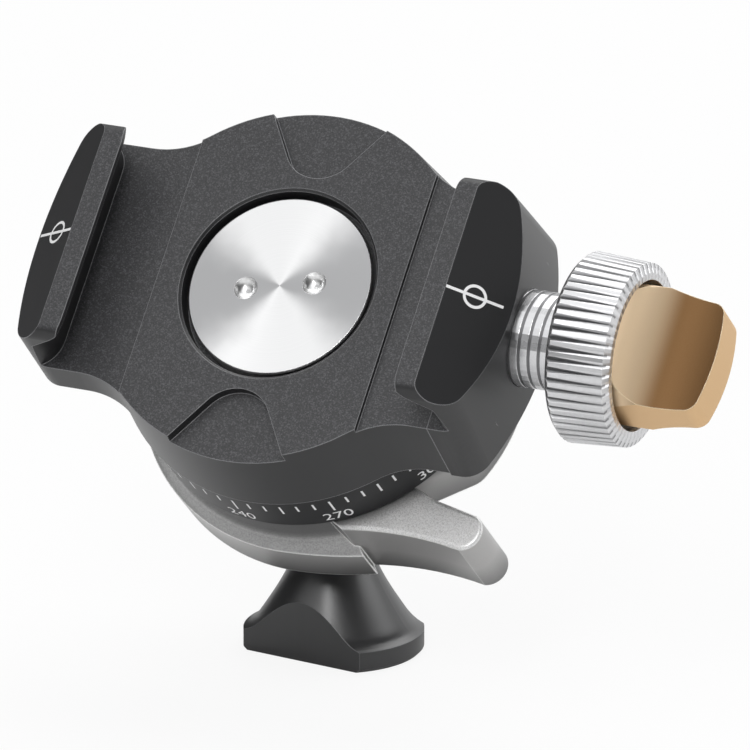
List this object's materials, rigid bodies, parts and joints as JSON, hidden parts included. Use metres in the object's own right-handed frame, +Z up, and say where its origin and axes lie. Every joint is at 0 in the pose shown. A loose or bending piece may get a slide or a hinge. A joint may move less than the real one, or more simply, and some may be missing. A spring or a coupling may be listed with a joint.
{
  "type": "tripod ball head",
  "caption": "Small inverted ball head: threaded foot, tilting ball, lever lock ring, panning base with degree scale and screw-knob dovetail clamp.",
  "frame": {"origin": "middle of the foot's bottom face, at the mouth of its 1/4 inch thread", "axes": "+Z up along the foot; the head leans towards -Y; +X runs from the fixed jaw to the clamp knob, turned 2 degrees about the head's own axis"},
  "size_m": [0.0674, 0.0412, 0.0521],
  "materials": {
    "body_anodised": "fine bead-blasted, dark grey anodised",
    "foot_anodised": "turned, black anodised",
    "scale_anodised": "black anodised, white engraved scale",
    "titanium_anodised": "bead-blasted, titanium-grey anodised",
    "silver_aluminium": "turned and bead-blasted, clear anodised",
    "gold_anodised": "satin, bronze-gold anodised",
    "turned_steel": "faced in circles, bright",
    "steel": "plain",
    "acetal": "natural white, smooth",
    "ptfe": "white, smooth",
    "nylon": "natural"
  },
  "bodies": {
    "foot": {"mounting_foot": "foot_anodised", "foot_thread_insert": "steel"},
    "stem": {"ball_stem": "silver_aluminium", "stem_screw": "steel"},
    "seat": {"lower_seat_ring": "acetal"},
    "housing": {"ball_housing": "body_anodised", "upper_friction_cup": "acetal", "degree_ring": "scale_anodised", "lever_stop_pin": "steel", "pan_thrust_washer": "ptfe", "pan_spring_washer": "steel", "pan_cap": "turned_steel"},
    "lever": {"lever_ring": "titanium_anodised"},
    "clamp": {"clamp_body": "body_anodised", "jaw_guide_pins": "steel", "screw_retaining_pins": "steel"},
    "jaw": {"movable_jaw": "body_anodised"},
    "knob": {"clamp_screw": "silver_aluminium", "knurled_wheel": "silver_aluminium", "wheel_set_screw": "steel"},
    "pan_lock": {"pan_lock_spindle": "steel", "brake_pad": "nylon", "pan_lock_paddle": "gold_anodised", "paddle_pin": "steel"}
  },
  "joints": [
    {"name": "stem_turn", "type": "hinge", "parent": "foot", "child": "stem", "pos_m": [0, 0, 0.0285], "axis": [0, 0, 1], "continuous": true},
    {"name": "head_tilt", "type": "hinge", "parent": "stem", "child": "seat", "pos_m": [0, 0, 0.0285], "axis": [1, 0, 0], "range_deg": [-101, 1]},
    {"name": "head_spin", "type": "hinge", "parent": "seat", "child": "housing", "pos_m": [0, 0, 0.0285], "axis": [0, -0.766, 0.6428], "continuous": true},
    {"name": "lever_turn", "type": "hinge", "parent": "housing", "child": "lever", "pos_m": [0, 0, 0.0285], "axis": [0, -0.766, 0.6428], "range_deg": [0, 60]},
    {"name": "pan_turn", "type": "hinge", "parent": "housing", "child": "clamp", "pos_m": [0, 0, 0.0285], "axis": [0, -0.766, 0.6428], "continuous": true},
    {"name": "jaw_slide", "type": "slide", "parent": "clamp", "child": "jaw", "axis": [0.9994, -0.0224, -0.0267], "range_m": [0, 0.0036]},
    {"name": "clamp_knob", "type": "hinge", "parent": "clamp", "child": "knob", "pos_m": [0.02998, -0.01033, 0.0358], "axis": [0.9994, -0.0224, -0.0267], "range_deg": [0, 1296]},
    {"name": "pan_lock_turn", "type": "hinge", "parent": "clamp", "child": "pan_lock", "pos_m": [0.03798, -0.0105, 0.03558], "axis": [0.9994, -0.0224, -0.0267], "range_deg": [-80, 0]}
  ],
  "couplings": [
    {"joint": "clamp_knob", "follows": "jaw_slide", "rad_per_m": 6283.2}
  ]
}
